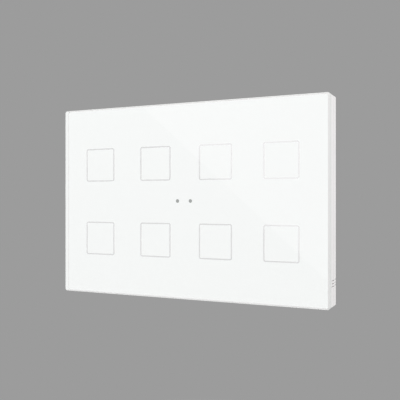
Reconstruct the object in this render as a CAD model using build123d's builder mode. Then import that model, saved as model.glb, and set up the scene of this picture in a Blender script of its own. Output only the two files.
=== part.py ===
from build123d import *
import os

# Touch light switch: a glass panel with eight touch areas that hangs on a steel wall plate.
# Millimetres. X runs to the right as seen from the room, Z runs up, and the wall is the
# plane Y = 0 with the room towards -Y. The origin is the middle of the box screw pattern,
# on the back of the wall plate. Every depth is a distance in front of the wall.

os.makedirs("parts", exist_ok=True)

# Panel
panel_width = 120.0
panel_height = 81.0
panel_depth = 11.9
rear_gap = 0.3
overrun = 1.0

# Pattern in the glass front
area_columns = 4
area_rows = 2
area_side = 13.9
area_side_margin = 11.95
area_end_margin = 17.5
pattern_shift = 0.3
pattern_drop = 0.33
line_width = 0.5
line_corner_radius = 0.6
dot_spacing = 5.9
dot_diameter = 1.5

column_pitch = (panel_width - 2 * area_side_margin - area_side) / (area_columns - 1)
row_pitch = (panel_height - 2 * area_end_margin - area_side) / (area_rows - 1)

# Layers, from the room towards the wall
glass_thickness = 3.0
ink_thickness = 0.1
glue_gap = 0.1
film_thickness = 0.2
tape_thickness = 0.2
mask_thickness = 1.6
board_thickness = 1.2
cover_thickness = 2.6
rim_rise = 1.4
parting_gap = 0.2

glass_back = panel_depth - glass_thickness
ink_rear = panel_depth - ink_thickness
film_back = glass_back - glue_gap - film_thickness
frame_front = film_back - tape_thickness
mask_back = film_back - mask_thickness
board_back = mask_back - board_thickness
cover_front = rear_gap + cover_thickness
frame_rear = cover_front + rim_rise + parting_gap

# Wall plate and how the panel hangs on it
plate_thickness = 1.0
plate_clearance = 0.2
recess_side_clearance = 0.8
lift_travel = 4.5
side_rim = 9.0
bottom_rim = 2.2

# Fits
loose_fit = 0.3
slide_fit = 0.08
fixed_fit = 0.05

# Side frame
frame_inset = 0.1
frame_corner_radius = 0.6
wall = 1.8
flange_width = 4.8

frame_width = panel_width - 2 * frame_inset
frame_height = panel_height - 2 * frame_inset
cavity_width = frame_width - 2 * wall
cavity_height = frame_height - 2 * wall
window_width = frame_width - 2 * flange_width
window_height = frame_height - 2 * flange_width
recess_front = plate_thickness + plate_clearance
recess_width = frame_width - 2 * side_rim
recess_top = frame_height / 2 - bottom_rim - lift_travel
recess_bottom = -(frame_height / 2 - bottom_rim)
plate_width = recess_width - 2 * recess_side_clearance
plate_height = 2 * (recess_top - recess_side_clearance)

# Cover screws and the posts that take them
post_radius = 2.3
post_bite = 0.5
pilot_front_wall = 0.6
screw_tip_margin = 0.5
screw_radius = 1.1
screw_head_radius = 1.9
screw_head_height = 1.0
screw_head_sink = 0.2
screw_slot_width = 0.5
screw_slot_depth = 0.5
screw_rows = 3
screw_end_margin = 16.3
screw_row_spacing = (frame_height - 2 * screw_end_margin) / (screw_rows - 1)
screw_x = cavity_width / 2 - post_radius + post_bite
screw_head_rear = rear_gap + screw_head_sink
pilot_front = frame_front - pilot_front_wall
screw_length = pilot_front - screw_tip_margin - screw_head_rear - screw_head_height

# Air slits over the temperature probe
slit_count = 3
slit_pitch = 1.12
slit_height = 0.4
slit_depth = 1.2
slit_front_margin = 4.0
slit_end_margin = 9.1
slit_drop = frame_height / 2 - slit_end_margin

# Connectors in the middle of the back
connector_z = 5.0
connector_standoff = 0.1
header_height = 1.5
bus_x = -10.0
bus_pin_spacing = 5.75
bus_pin_radius = 0.5
bus_pin_reach = 4.5
bus_pin_tip = 0.2
bus_plug_height = 10.0
bus_plug_length = 11.5
bus_hole_length = 6.0
bus_wire_radius = 0.6
bus_wire_pitch = 2.2
bus_wire_count = 4
bus_wire_depth = 4.9
bus_edge = 0.4
input_x = 9.0
pole_count = 3
pole_pitch = 3.81
input_end_wall = 0.5
input_plug_height = 9.6
input_plug_length = 15.9
input_pin_side = 0.8
input_pin_reach = 4.0
input_pin_drop = 1.05
input_edge = 0.5

connector_front = board_back - header_height - connector_standoff
input_plug_width = pole_count * pole_pitch + input_end_wall


def at_depth(depth):
    """Plane parallel to the wall at this distance in front of it, seen from the room."""
    return Plane.XZ.offset(depth)


def spread(count, pitch):
    """Evenly spaced values about zero."""
    return [(index - (count - 1) / 2) * pitch for index in range(count)]


# Middles of the touch areas, top row first and from left to right
area_places = [
    (x + pattern_shift, z - pattern_drop)
    for z in reversed(spread(area_rows, row_pitch))
    for x in spread(area_columns, column_pitch)
]
dot_places = [(x, 0) for x in spread(2, dot_spacing)]
screw_places = [
    (side * screw_x, z) for side in (-1, 1) for z in spread(screw_rows, screw_row_spacing)
]
slit_heights = [z - slit_drop for z in spread(slit_count, slit_pitch)]
pole_xs = [input_x + x for x in spread(pole_count, pole_pitch)]
bus_xs = [bus_x + x for x in spread(2, bus_pin_spacing)]

# Touch outlines: one square line of ink round each touch area, flush with the glass
outer_side = area_side + line_width
outer_radius = line_corner_radius + line_width / 2
inner_side = area_side - line_width
inner_radius = line_corner_radius - line_width / 2

with BuildPart() as touch_outlines:
    with BuildSketch(at_depth(ink_rear)):
        with Locations(*area_places):
            RectangleRounded(outer_side, outer_side, outer_radius)
        with Locations(*area_places):
            RectangleRounded(inner_side, inner_side, inner_radius, mode=Mode.SUBTRACT)
    extrude(amount=ink_thickness)
touch_outlines.part.label = "touch_outlines"
export_step(touch_outlines.part, "parts/touch_outlines.step")

# Sensor windows: two dots of grey ink that infrared light passes
with BuildPart() as sensor_windows:
    with BuildSketch(at_depth(ink_rear)):
        with Locations(*dot_places):
            Circle(dot_diameter / 2)
    extrude(amount=ink_thickness)
sensor_windows.part.label = "sensor_windows"
export_step(sensor_windows.part, "parts/sensor_windows.step")

# Glass front: the bevel runs round its room side, and shallow grooves hold the ink
glass_corner_radius = 1.0
glass_bevel = 0.65

with BuildPart() as glass_front:
    with BuildSketch(at_depth(glass_back)):
        RectangleRounded(panel_width, panel_height, glass_corner_radius)
    extrude(amount=glass_thickness)
    chamfer(glass_front.faces().sort_by(Axis.Y)[0].edges(), glass_bevel)
    with BuildSketch(at_depth(ink_rear)):
        with Locations(*area_places):
            RectangleRounded(outer_side, outer_side, outer_radius)
        with Locations(*area_places):
            RectangleRounded(inner_side, inner_side, inner_radius, mode=Mode.SUBTRACT)
        with Locations(*dot_places):
            Circle(dot_diameter / 2)
    extrude(amount=ink_thickness + overrun, mode=Mode.SUBTRACT)
glass_front.part.label = "glass_front"
export_step(glass_front.part, "parts/glass_front.step")

# Print film: white sheet over the whole back of the glass, which infrared light passes
film_inset = 0.05
film_width = panel_width - 2 * film_inset
film_height = panel_height - 2 * film_inset

with BuildPart() as print_film:
    with BuildSketch(at_depth(film_back)):
        RectangleRounded(film_width, film_height, glass_corner_radius - film_inset)
    extrude(amount=film_thickness)
print_film.part.label = "print_film"
export_step(print_film.part, "parts/print_film.step")

# Tape ring: it glues the film and the glass to the frame's flange
tape_inset = 0.6
tape_width = 3.0
tape_outer_width = panel_width - 2 * tape_inset
tape_outer_height = panel_height - 2 * tape_inset

with BuildPart() as tape_ring:
    with BuildSketch(at_depth(frame_front)):
        Rectangle(tape_outer_width, tape_outer_height)
        Rectangle(
            tape_outer_width - 2 * tape_width,
            tape_outer_height - 2 * tape_width,
            mode=Mode.SUBTRACT,
        )
    extrude(amount=tape_thickness)
tape_ring.part.label = "tape_ring"
export_step(tape_ring.part, "parts/tape_ring.step")

# Side frame: wall, front flange, screw posts and air slits
with BuildPart() as side_frame:
    with BuildSketch(at_depth(frame_rear)):
        RectangleRounded(frame_width, frame_height, frame_corner_radius)
        Rectangle(cavity_width, cavity_height, mode=Mode.SUBTRACT)
    extrude(amount=frame_front - frame_rear)
    with BuildSketch(at_depth(mask_back)):
        RectangleRounded(frame_width, frame_height, frame_corner_radius)
        Rectangle(window_width, window_height, mode=Mode.SUBTRACT)
    extrude(amount=frame_front - mask_back)
    with BuildSketch(at_depth(cover_front)):
        with Locations(*screw_places):
            Circle(post_radius)
    extrude(amount=mask_back - cover_front)
    with BuildSketch(at_depth(cover_front)):
        with Locations(*screw_places):
            Circle(screw_radius + fixed_fit)
    extrude(amount=pilot_front - cover_front, mode=Mode.SUBTRACT)
    with BuildSketch(at_depth(frame_rear - overrun)):
        with Locations(*[(frame_width / 2, z) for z in slit_heights]):
            Rectangle(2 * slit_depth, slit_height)
    extrude(amount=panel_depth - slit_front_margin - frame_rear + overrun, mode=Mode.SUBTRACT)
    with BuildSketch(at_depth(frame_rear - overrun)):
        with Locations(*[(frame_width / 2, z) for z in slit_heights]):
            Rectangle(2 * (wall + overrun), slit_height)
    extrude(amount=mask_back - frame_rear + overrun, mode=Mode.SUBTRACT)
side_frame.part.label = "side_frame"
export_step(side_frame.part, "parts/side_frame.step")

# Light mask: grid between film and board, with a chamber behind each touch area and a
# stepped hole behind each dot
chamber_margin = 0.8
chamber_side = area_side + 2 * chamber_margin
sensor_width = 2.0
sensor_height = 1.3
sensor_thickness = 0.8
sensor_lens_radius = 0.45
sensor_lens_height = 0.25
sensor_hole_radius = 0.8

with BuildPart() as light_mask:
    with BuildSketch(at_depth(mask_back)):
        Rectangle(window_width - 2 * loose_fit, window_height - 2 * loose_fit)
        with Locations(*area_places):
            Rectangle(chamber_side, chamber_side, mode=Mode.SUBTRACT)
        with Locations(*dot_places):
            Circle(sensor_hole_radius, mode=Mode.SUBTRACT)
    extrude(amount=mask_thickness)
    with BuildSketch(at_depth(mask_back)):
        with Locations(*dot_places):
            Rectangle(sensor_width + 2 * loose_fit, sensor_height + 2 * loose_fit)
    extrude(amount=sensor_thickness + sensor_lens_height / 2, mode=Mode.SUBTRACT)
light_mask.part.label = "light_mask"
export_step(light_mask.part, "parts/light_mask.step")

# Touch pads: copper squares on the board's front, each open round its lamp
lamp_side = 1.6
lamp_thickness = 0.45
lamp_lens_side = 1.1
lamp_lens_height = 0.15
pad_thickness = 0.1
pad_opening = 2.8

with BuildPart() as touch_pads:
    with BuildSketch(at_depth(mask_back)):
        with Locations(*area_places):
            Rectangle(area_side, area_side)
        with Locations(*area_places):
            Rectangle(pad_opening, pad_opening, mode=Mode.SUBTRACT)
    extrude(amount=pad_thickness)
touch_pads.part.label = "touch_pads"
export_step(touch_pads.part, "parts/touch_pads.step")

# Status lamps: one in the middle of each pad
with BuildPart() as status_leds:
    with BuildSketch(at_depth(mask_back)):
        with Locations(*area_places):
            Rectangle(lamp_side, lamp_side)
    extrude(amount=lamp_thickness)
    with BuildSketch(at_depth(mask_back + lamp_thickness)):
        with Locations(*area_places):
            Rectangle(lamp_lens_side, lamp_lens_side)
    extrude(amount=lamp_lens_height)
status_leds.part.label = "status_leds"
export_step(status_leds.part, "parts/status_leds.step")

# Diffusers: milky plates between pad and film, hollowed over the lamp
diffuser_side = chamber_side - 2 * loose_fit
diffuser_thickness = mask_thickness - pad_thickness
lamp_hollow = lamp_thickness + lamp_lens_height + loose_fit - pad_thickness

for number, place in enumerate(area_places, start=1):
    with BuildPart() as diffuser:
        with BuildSketch(at_depth(mask_back + pad_thickness)):
            with Locations(place):
                Rectangle(diffuser_side, diffuser_side)
        extrude(amount=diffuser_thickness)
        with BuildSketch(at_depth(mask_back + pad_thickness)):
            with Locations(place):
                Rectangle(pad_opening, pad_opening)
        extrude(amount=lamp_hollow, mode=Mode.SUBTRACT)
    diffuser.part.label = f"diffuser_{number}"
    export_step(diffuser.part, f"parts/diffuser_{number}.step")

# Proximity sensor: the emitter behind the left dot and the receiver behind the right one
for name, place in zip(("proximity_emitter", "proximity_receiver"), dot_places):
    with BuildPart() as sensor:
        with BuildSketch(at_depth(mask_back)):
            with Locations(place):
                Rectangle(sensor_width, sensor_height)
        extrude(amount=sensor_thickness)
        with BuildSketch(at_depth(mask_back + sensor_thickness)):
            with Locations(place):
                Circle(sensor_lens_radius)
        extrude(amount=sensor_lens_height)
    sensor.part.label = name
    export_step(sensor.part, f"parts/{name}.step")

# Main board: it lies on the back of the flange and is notched round the posts
board_width = cavity_width - 2 * loose_fit
board_height = cavity_height - 2 * loose_fit

with BuildPart() as main_board:
    with BuildSketch(at_depth(board_back)):
        Rectangle(board_width, board_height)
        with Locations(*screw_places):
            Circle(post_radius + loose_fit, mode=Mode.SUBTRACT)
    extrude(amount=board_thickness)
main_board.part.label = "main_board"
export_step(main_board.part, "parts/main_board.step")


def on_board(shares):
    """Place on the board's back, from shares of half its width and height."""
    return (shares[0] * board_width / 2, shares[1] * board_height / 2)


# Chips with leads along two sides: body width, body height, thickness, lead count and pitch
lead_width = 0.3
lead_reach = 0.8
lead_thickness = 0.2
controller_width = 7.0
controller_height = 7.0
controller_thickness = 1.2
controller_lead_count = 8
controller_lead_pitch = 0.8
controller_place_shares = (0.42, 0.02)
bus_chip_width = 5.0
bus_chip_height = 6.2
bus_chip_thickness = 1.3
bus_chip_lead_count = 4
bus_chip_lead_pitch = 1.27
bus_chip_place_shares = (-0.43, 0.02)
touch_chip_width = 5.0
touch_chip_height = 5.0
touch_chip_thickness = 0.9
touch_chip_lead_count = 6
touch_chip_lead_pitch = 0.65
touch_chip_place_shares = (0.78, 0.05)

chips = (
    (
        "controller_chip",
        controller_place_shares,
        controller_width,
        controller_height,
        controller_thickness,
        controller_lead_count,
        controller_lead_pitch,
    ),
    (
        "bus_chip",
        bus_chip_place_shares,
        bus_chip_width,
        bus_chip_height,
        bus_chip_thickness,
        bus_chip_lead_count,
        bus_chip_lead_pitch,
    ),
    (
        "touch_chip",
        touch_chip_place_shares,
        touch_chip_width,
        touch_chip_height,
        touch_chip_thickness,
        touch_chip_lead_count,
        touch_chip_lead_pitch,
    ),
)
for name, shares, width, height, thickness, lead_count, pitch in chips:
    chip_x, chip_z = on_board(shares)
    with BuildPart() as chip:
        with BuildSketch(at_depth(board_back)):
            with Locations((chip_x, chip_z)):
                Rectangle(width, height)
        extrude(amount=-thickness)
        with BuildSketch(at_depth(board_back)):
            with Locations(*[(chip_x, chip_z + z) for z in spread(lead_count, pitch)]):
                Rectangle(width + 2 * lead_reach, lead_width)
        extrude(amount=-lead_thickness)
    chip.part.label = name
    export_step(chip.part, f"parts/{name}.step")

# Crystal: a low metal can
crystal_width = 3.2
crystal_height = 2.5
crystal_thickness = 0.7
crystal_place_shares = (0.42, -0.2)

with BuildPart() as crystal:
    with BuildSketch(at_depth(board_back)):
        with Locations(on_board(crystal_place_shares)):
            RectangleRounded(crystal_width, crystal_height, lead_width)
    extrude(amount=-crystal_thickness)
crystal.part.label = "crystal"
export_step(crystal.part, "parts/crystal.step")

# Inductor: a round coil can on a square foot
inductor_side = 4.0
inductor_foot = 0.4
inductor_thickness = 1.4
inductor_place_shares = (-0.43, -0.22)

with BuildPart() as inductor:
    with BuildSketch(at_depth(board_back)):
        with Locations(on_board(inductor_place_shares)):
            Rectangle(inductor_side, inductor_side)
    extrude(amount=-inductor_foot)
    with BuildSketch(at_depth(board_back - inductor_foot)):
        with Locations(on_board(inductor_place_shares)):
            Circle(inductor_side / 2)
    extrude(amount=inductor_foot - inductor_thickness)
inductor.part.label = "inductor"
export_step(inductor.part, "parts/inductor.step")

# Buffer capacitors: two flat blocks that keep the panel going through short bus gaps
capacitor_width = 7.3
capacitor_height = 4.3
capacitor_thickness = 1.5
capacitor_pitch = 10.0
capacitor_place_shares = (-0.12, -0.62)

with BuildPart() as buffer_capacitors:
    capacitor_x, capacitor_z = on_board(capacitor_place_shares)
    with BuildSketch(at_depth(board_back)):
        with Locations(*[(capacitor_x + x, capacitor_z) for x in spread(2, capacitor_pitch)]):
            Rectangle(capacitor_width, capacitor_height)
    extrude(amount=-capacitor_thickness)
buffer_capacitors.part.label = "buffer_capacitors"
export_step(buffer_capacitors.part, "parts/buffer_capacitors.step")

# Chip resistors: a row beside the controller and one beside the touch chip
resistor_width = 1.6
resistor_height = 0.8
resistor_thickness = 0.45
resistor_pitch = 1.6
resistor_count = 6
resistor_row_shares = ((0.62, 0.0), (-0.62, 0.0))

with BuildPart() as chip_resistors:
    with BuildSketch(at_depth(board_back)):
        for row_shares in resistor_row_shares:
            row_x, row_z = on_board(row_shares)
            with Locations(*[(row_x, row_z + z) for z in spread(resistor_count, resistor_pitch)]):
                Rectangle(resistor_width, resistor_height)
    extrude(amount=-resistor_thickness)
chip_resistors.part.label = "chip_resistors"
export_step(chip_resistors.part, "parts/chip_resistors.step")

# Buzzer: flat square sounder with a hole in its face
buzzer_side = 9.0
buzzer_thickness = 1.5
buzzer_hole_radius = 0.8
buzzer_hole_depth = 0.6
buzzer_place_shares = (0.24, -0.62)

with BuildPart() as buzzer:
    with BuildSketch(at_depth(board_back)):
        with Locations(on_board(buzzer_place_shares)):
            Rectangle(buzzer_side, buzzer_side)
    extrude(amount=-buzzer_thickness)
    with BuildSketch(at_depth(board_back - buzzer_thickness)):
        with Locations(on_board(buzzer_place_shares)):
            Circle(buzzer_hole_radius)
    extrude(amount=buzzer_hole_depth, mode=Mode.SUBTRACT)
buzzer.part.label = "buzzer"
export_step(buzzer.part, "parts/buzzer.step")

# Temperature probe: a bead behind the air slits, on two leads from the board
probe_radius = 0.6
probe_length = 1.8
probe_standoff = 1.0
probe_edge_margin = 0.7
probe_lead_side = 0.3
probe_lead_spacing = 1.2
probe_foot_reach = 1.6
probe_depth = board_back - probe_standoff
probe_x = cavity_width / 2 - probe_edge_margin - probe_length / 2

with BuildPart() as temperature_probe:
    with BuildSketch(Plane.YZ.offset(probe_x - probe_length / 2)):
        with Locations((-probe_depth, -slit_drop)):
            Circle(probe_radius)
    extrude(amount=probe_length)
    with BuildSketch(at_depth(probe_depth)):
        with Locations(
            *[
                (probe_x - probe_foot_reach / 2, z - slit_drop)
                for z in spread(2, probe_lead_spacing - probe_lead_side)
            ]
        ):
            Rectangle(probe_foot_reach, probe_lead_side)
    extrude(amount=probe_lead_side)
    with BuildSketch(at_depth(probe_depth)):
        with Locations(
            *[
                (probe_x - probe_foot_reach + probe_lead_side / 2, z - slit_drop)
                for z in spread(2, probe_lead_spacing - probe_lead_side)
            ]
        ):
            Rectangle(probe_lead_side, probe_lead_side)
    extrude(amount=probe_standoff)
temperature_probe.part.label = "temperature_probe"
export_step(temperature_probe.part, "parts/temperature_probe.step")

# Programming button: a switch on the board, its stem, and a key that ends in the cover
key_x = -4.0
key_z = -10.0
key_radius = 1.5
key_travel = 0.25
key_sink = 0.15
key_collar_radius = 2.2
key_collar_thickness = 0.4
key_tip_radius = 1.0
switch_side = 4.5
switch_thickness = 0.7
stem_radius = 1.1
stem_rise = 0.2
stem_well_depth = 0.55
stem_length = stem_rise + stem_well_depth - key_travel
switch_rear = board_back - switch_thickness
stem_rear = switch_rear - stem_rise
collar_rear = cover_front + fixed_fit

with BuildPart() as switch_body:
    with BuildSketch(at_depth(board_back)):
        with Locations((key_x, key_z)):
            Rectangle(switch_side, switch_side)
    extrude(amount=-switch_thickness)
    with BuildSketch(at_depth(switch_rear)):
        with Locations((key_x, key_z)):
            Circle(stem_radius + slide_fit)
    extrude(amount=stem_well_depth, mode=Mode.SUBTRACT)
switch_body.part.label = "switch_body"
export_step(switch_body.part, "parts/switch_body.step")

with BuildPart() as switch_stem:
    with BuildSketch(at_depth(stem_rear)):
        with Locations((key_x, key_z)):
            Circle(stem_radius)
    extrude(amount=stem_length - fixed_fit)
switch_stem.part.label = "switch_stem"
export_step(switch_stem.part, "parts/switch_stem.step")

with BuildPart() as programming_key:
    with BuildSketch(at_depth(recess_front + key_sink)):
        with Locations((key_x, key_z)):
            Circle(key_radius)
    extrude(amount=collar_rear - recess_front - key_sink)
    with BuildSketch(at_depth(collar_rear)):
        with Locations((key_x, key_z)):
            Circle(key_collar_radius)
    extrude(amount=key_collar_thickness)
    with BuildSketch(at_depth(collar_rear + key_collar_thickness)):
        with Locations((key_x, key_z)):
            Circle(key_tip_radius)
    extrude(amount=stem_rear - collar_rear - key_collar_thickness)
programming_key.part.label = "programming_key"
export_step(programming_key.part, "parts/programming_key.step")

# Programming lamp and the clear pin that shows it at the back
pipe_x = 4.0
pipe_radius = 1.0
pipe_collar_radius = 1.6
pipe_collar_thickness = 0.4
pipe_gap = 0.1
led_width = 1.6
led_height = 0.8
led_thickness = 0.5

with BuildPart() as programming_led:
    with BuildSketch(at_depth(board_back)):
        with Locations((pipe_x, key_z)):
            Rectangle(led_width, led_height)
    extrude(amount=-led_thickness)
programming_led.part.label = "programming_led"
export_step(programming_led.part, "parts/programming_led.step")

with BuildPart() as light_pipe:
    with BuildSketch(at_depth(recess_front + key_sink)):
        with Locations((pipe_x, key_z)):
            Circle(pipe_radius)
    extrude(amount=board_back - led_thickness - pipe_gap - recess_front - key_sink)
    with BuildSketch(at_depth(cover_front)):
        with Locations((pipe_x, key_z)):
            Circle(pipe_collar_radius)
    extrude(amount=pipe_collar_thickness)
light_pipe.part.label = "light_pipe"
export_step(light_pipe.part, "parts/light_pipe.step")

# Bus header: plastic base and two round pins
bus_base_margin = 1.2
bus_base_width = 2 * bus_pin_spacing
bus_base_height = bus_plug_height - 2 * bus_base_margin

with BuildPart() as bus_header:
    with BuildSketch(at_depth(board_back)):
        with Locations((bus_x, connector_z)):
            Rectangle(bus_base_width, bus_base_height)
        with Locations(*[(x, connector_z) for x in bus_xs]):
            Circle(bus_pin_radius + fixed_fit, mode=Mode.SUBTRACT)
    extrude(amount=-header_height)
bus_header.part.label = "bus_header"
export_step(bus_header.part, "parts/bus_header.step")

with BuildPart() as bus_pins:
    with BuildSketch(at_depth(board_back)):
        with Locations(*[(x, connector_z) for x in bus_xs]):
            Circle(bus_pin_radius)
    extrude(amount=-(header_height + connector_standoff + bus_pin_reach))
    chamfer(bus_pins.faces().sort_by(Axis.Y)[-2:].edges(), bus_pin_tip)
bus_pins.part.label = "bus_pins"
export_step(bus_pins.part, "parts/bus_pins.step")

# Bus plug: a red and a dark grey half, side by side, each with a pin hole in front, four
# wire holes behind and a contact strip in the chamber between them
strip_width = 4.0
strip_height = 8.4
strip_thickness = 0.4
bus_chamber_depth = bus_plug_length - bus_hole_length - bus_wire_depth
wire_zs = [connector_z + z for z in spread(bus_wire_count, bus_wire_pitch)]

for name, half_x in zip(("bus_plug_red", "bus_plug_grey"), bus_xs):
    with BuildPart() as bus_plug_half:
        with BuildSketch(at_depth(connector_front)):
            with Locations((half_x, connector_z)):
                Rectangle(bus_pin_spacing, bus_plug_height)
        extrude(amount=-bus_plug_length)
        rear_rim = bus_plug_half.faces().sort_by(Axis.Y)[-1].edges()
        chamfer(rear_rim.filter_by(Axis.X), bus_edge)
        with BuildSketch(at_depth(connector_front)):
            with Locations((half_x, connector_z)):
                Circle(bus_pin_radius + slide_fit)
        extrude(amount=-bus_hole_length, mode=Mode.SUBTRACT)
        with BuildSketch(at_depth(connector_front - bus_hole_length)):
            with Locations((half_x, connector_z)):
                Rectangle(strip_width + 2 * slide_fit, strip_height + 2 * slide_fit)
        extrude(amount=-bus_chamber_depth, mode=Mode.SUBTRACT)
        with BuildSketch(at_depth(connector_front - bus_hole_length - bus_chamber_depth)):
            with Locations(*[(half_x, z) for z in wire_zs]):
                Circle(bus_wire_radius)
        extrude(amount=-bus_wire_depth, mode=Mode.SUBTRACT)
    bus_plug_half.part.label = name
    export_step(bus_plug_half.part, f"parts/{name}.step")

with BuildPart() as bus_contacts:
    with BuildSketch(at_depth(connector_front - bus_hole_length)):
        with Locations(*[(x, connector_z) for x in bus_xs]):
            Rectangle(strip_width, strip_height)
    extrude(amount=-strip_thickness)
bus_contacts.part.label = "bus_contacts"
export_step(bus_contacts.part, "parts/bus_contacts.step")

# Input header: base with three square pins
input_base_margin = 1.2
input_base_height = input_plug_height - 2 * input_base_margin
input_pin_z = connector_z - input_pin_drop

with BuildPart() as input_header:
    with BuildSketch(at_depth(board_back)):
        with Locations((input_x, connector_z)):
            Rectangle(input_plug_width, input_base_height)
        with Locations(*[(x, input_pin_z) for x in pole_xs]):
            Rectangle(
                input_pin_side + 2 * fixed_fit, input_pin_side + 2 * fixed_fit, mode=Mode.SUBTRACT
            )
    extrude(amount=-header_height)
input_header.part.label = "input_header"
export_step(input_header.part, "parts/input_header.step")

with BuildPart() as input_pins:
    with BuildSketch(at_depth(board_back)):
        with Locations(*[(x, input_pin_z) for x in pole_xs]):
            Rectangle(input_pin_side, input_pin_side)
    extrude(amount=-(header_height + connector_standoff + input_pin_reach))
    chamfer(input_pins.faces().sort_by(Axis.Y)[-pole_count:].edges(), bus_pin_tip)
input_pins.part.label = "input_pins"
export_step(input_pins.part, "parts/input_pins.step")

# Input plug: for each pole a contact, a screw from above and a clamp that the screw lifts
sleeve_inset = 0.4
sleeve_length = 5.0
sleeve_side = 1.6
sleeve_bore = input_pin_side + 2 * slide_fit
bar_width = 1.6
bar_thickness = 0.5
bar_tail = 0.3
clamp_wall_ahead = 0.8
clamp_width = 2.8
clamp_length = 4.0
clamp_height = 4.9
clamp_top_wall = 1.2
clamp_floor = 0.6
clamp_side_wall = 0.4
clamp_drop = 3.9
clamp_travel = 1.2
clamp_screw_radius = 1.0
clamp_screw_length = 3.7
clamp_head_radius = 1.45
clamp_head_height = 1.4
clamp_head_sink = 0.3
clamp_slot_width = 0.5
clamp_slot_depth = 0.7
wire_hole_radius = 1.0
wire_funnel_radius = 1.5
wire_funnel_depth = 2.0
chamber_fit = 0.1

sleeve_rear = connector_front - sleeve_inset - sleeve_length
chamber_front = sleeve_rear - clamp_wall_ahead
chamber_rear = chamber_front - clamp_length - 2 * chamber_fit
clamp_middle = (chamber_front + chamber_rear) / 2
plug_top = connector_z + input_plug_height / 2
head_top = plug_top - clamp_head_sink
head_bottom = head_top - clamp_head_height
clamp_bottom = connector_z - clamp_drop
chamber_top = clamp_bottom + clamp_height + clamp_travel + chamber_fit
chamber_bottom = clamp_bottom - chamber_fit
bar_bottom = input_pin_z - bar_thickness / 2
wire_hole_z = (bar_bottom + clamp_bottom + clamp_floor) / 2

with BuildPart() as input_plug:
    with BuildSketch(at_depth(connector_front)):
        with Locations((input_x, connector_z)):
            Rectangle(input_plug_width, input_plug_height)
    extrude(amount=-input_plug_length)
    chamfer(input_plug.faces().sort_by(Axis.Y)[-1].edges().filter_by(Axis.X), input_edge)
    with BuildSketch(at_depth(connector_front)):
        with Locations(*[(x, input_pin_z) for x in pole_xs]):
            Rectangle(sleeve_side + 2 * chamber_fit, sleeve_side + 2 * chamber_fit)
    extrude(amount=chamber_front - connector_front, mode=Mode.SUBTRACT)
    with BuildSketch(at_depth(chamber_front)):
        with Locations(*[(x, (chamber_top + chamber_bottom) / 2) for x in pole_xs]):
            Rectangle(clamp_width + 2 * chamber_fit, chamber_top - chamber_bottom)
    extrude(amount=chamber_rear - chamber_front, mode=Mode.SUBTRACT)
    with BuildSketch(at_depth(chamber_rear)):
        with Locations(*[(x, wire_hole_z) for x in pole_xs]):
            Circle(wire_hole_radius)
    extrude(amount=connector_front - input_plug_length - chamber_rear, mode=Mode.SUBTRACT)
    with BuildSketch(at_depth(connector_front - input_plug_length)):
        with Locations(*[(x, wire_hole_z) for x in pole_xs]):
            Circle(wire_funnel_radius)
    extrude(amount=wire_funnel_depth, mode=Mode.SUBTRACT)
    with BuildSketch(Plane.XY.offset(plug_top)):
        with Locations(*[(x, -clamp_middle) for x in pole_xs]):
            Circle(clamp_head_radius + chamber_fit)
    extrude(amount=head_bottom - chamber_fit - plug_top, mode=Mode.SUBTRACT)
    with BuildSketch(Plane.XY.offset(plug_top)):
        with Locations(*[(x, -clamp_middle) for x in pole_xs]):
            Circle(clamp_screw_radius + chamber_fit)
    extrude(amount=chamber_top - plug_top, mode=Mode.SUBTRACT)
input_plug.part.label = "input_plug"
export_step(input_plug.part, "parts/input_plug.step")

# Plug contacts: a sleeve for the pin and a bar that the wire is pressed against
with BuildPart() as plug_contacts:
    with BuildSketch(at_depth(connector_front - sleeve_inset)):
        with Locations(*[(x, input_pin_z) for x in pole_xs]):
            Rectangle(sleeve_side, sleeve_side)
        with Locations(*[(x, input_pin_z) for x in pole_xs]):
            Rectangle(sleeve_bore, sleeve_bore, mode=Mode.SUBTRACT)
    extrude(amount=-sleeve_length)
    with BuildSketch(at_depth(sleeve_rear)):
        with Locations(*[(x, input_pin_z) for x in pole_xs]):
            Rectangle(bar_width, bar_thickness)
    extrude(amount=chamber_rear + chamber_fit - sleeve_rear)
    with BuildSketch(at_depth(sleeve_rear)):
        with Locations(*[(x, input_pin_z) for x in pole_xs]):
            Rectangle(sleeve_side, sleeve_side)
    extrude(amount=bar_tail)
plug_contacts.part.label = "plug_contacts"
export_step(plug_contacts.part, "parts/plug_contacts.step")

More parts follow.
